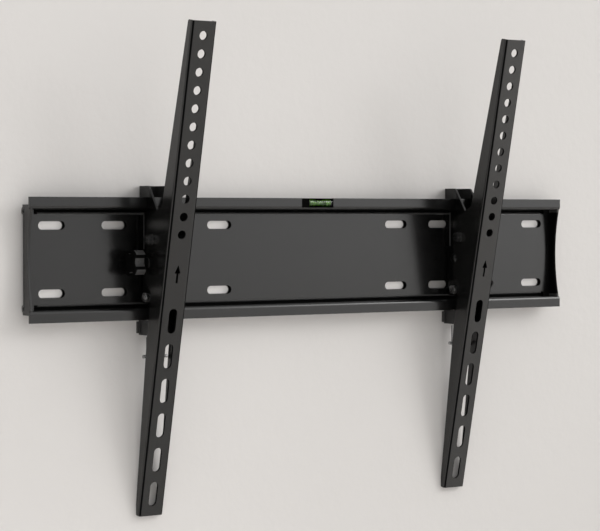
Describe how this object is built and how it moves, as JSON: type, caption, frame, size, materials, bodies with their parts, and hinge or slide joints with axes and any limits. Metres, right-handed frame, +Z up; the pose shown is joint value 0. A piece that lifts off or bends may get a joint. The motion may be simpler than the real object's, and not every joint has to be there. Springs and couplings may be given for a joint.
{
  "type": "tilting tv wall mount",
  "caption": "Slotted folded wall plate with a bubble level and two hook-on tilting arms, with tension knobs, spring latches and rows of screen holes.",
  "frame": {"origin": "on the wall's plane, at the middle of the wall plate", "axes": "+Z up, -Y out of the wall towards the screen, X along the plate; the arms stand at their full forward tilt"},
  "size_m": [0.58, 0.0973, 0.4234],
  "materials": {
    "plate_coat": "matte black powder coat",
    "bracket_coat": "matte black powder coat",
    "arm_coat": "matte black powder coat",
    "zinc": "bright zinc plate",
    "spring_steel": "drawn wire",
    "knob_plastic": "fine moulded texture",
    "level_body": "moulded",
    "vial_clear": "clear acrylic",
    "vial_fluid": "tinted liquid"
  },
  "bodies": {
    "plate": {"wall_plate": "plate_coat", "level_holder": "level_body", "level_vial": "vial_clear", "level_fluid": "vial_fluid"},
    "left_bracket": {"left_hook_bracket": "bracket_coat", "left_pivot_bolt": "zinc", "left_pivot_nut": "zinc", "left_pivot_washers": "zinc", "left_pivot_spacer": "zinc", "left_tilt_bolt": "zinc", "left_tilt_washer": "zinc", "left_tilt_spacer": "zinc", "left_tie_bolt": "zinc", "left_tie_nut": "zinc", "left_tie_spacer": "zinc", "left_latch_rivets": "zinc", "left_latch_spring": "spring_steel"},
    "left_arm": {"left_arm": "arm_coat"},
    "left_knob": {"left_tilt_knob": "knob_plastic"},
    "left_latch": {"left_latch": "bracket_coat", "left_latch_pull_bar": "zinc"},
    "right_bracket": {"right_hook_bracket": "bracket_coat", "right_pivot_bolt": "zinc", "right_pivot_nut": "zinc", "right_pivot_washers": "zinc", "right_pivot_spacer": "zinc", "right_tilt_bolt": "zinc", "right_tilt_washer": "zinc", "right_tilt_spacer": "zinc", "right_tie_bolt": "zinc", "right_tie_nut": "zinc", "right_tie_spacer": "zinc", "right_latch_rivets": "zinc", "right_latch_spring": "spring_steel"},
    "right_arm": {"right_arm": "arm_coat"},
    "right_knob": {"right_tilt_knob": "knob_plastic"},
    "right_latch": {"right_latch": "bracket_coat", "right_latch_pull_bar": "zinc"}
  },
  "joints": [
    {"name": "left_bracket_slide", "type": "slide", "parent": "plate", "child": "left_bracket", "axis": [1, 0, 0], "range_m": [-0.085, 0.125]},
    {"name": "left_arm_tilt", "type": "hinge", "parent": "left_bracket", "child": "left_arm", "pos_m": [-0.1675, -0.027, 0.0165], "axis": [1, 0, 0], "range_deg": [-12.2, 0]},
    {"name": "left_knob_turn", "type": "hinge", "parent": "left_bracket", "child": "left_knob", "pos_m": [-0.1675, -0.019, -0.0035], "axis": [1, 0, 0], "continuous": true},
    {"name": "left_latch_pull", "type": "slide", "parent": "left_bracket", "child": "left_latch", "axis": [0, 0, 1], "range_m": [-0.008, 0], "stiffness_N_per_m": 1500, "springref_m": 0.006, "deforming": ["left_latch_spring"]},
    {"name": "right_bracket_slide", "type": "slide", "parent": "plate", "child": "right_bracket", "axis": [1, 0, 0], "range_m": [-0.125, 0.085]},
    {"name": "right_arm_tilt", "type": "hinge", "parent": "right_bracket", "child": "right_arm", "pos_m": [0.1675, -0.027, 0.0165], "axis": [1, 0, 0], "range_deg": [-12.2, 0]},
    {"name": "right_knob_turn", "type": "hinge", "parent": "right_bracket", "child": "right_knob", "pos_m": [0.1675, -0.019, -0.0035], "axis": [1, 0, 0], "continuous": true},
    {"name": "right_latch_pull", "type": "slide", "parent": "right_bracket", "child": "right_latch", "axis": [0, 0, 1], "range_m": [-0.008, 0], "stiffness_N_per_m": 1500, "springref_m": 0.006, "deforming": ["right_latch_spring"]}
  ]
}
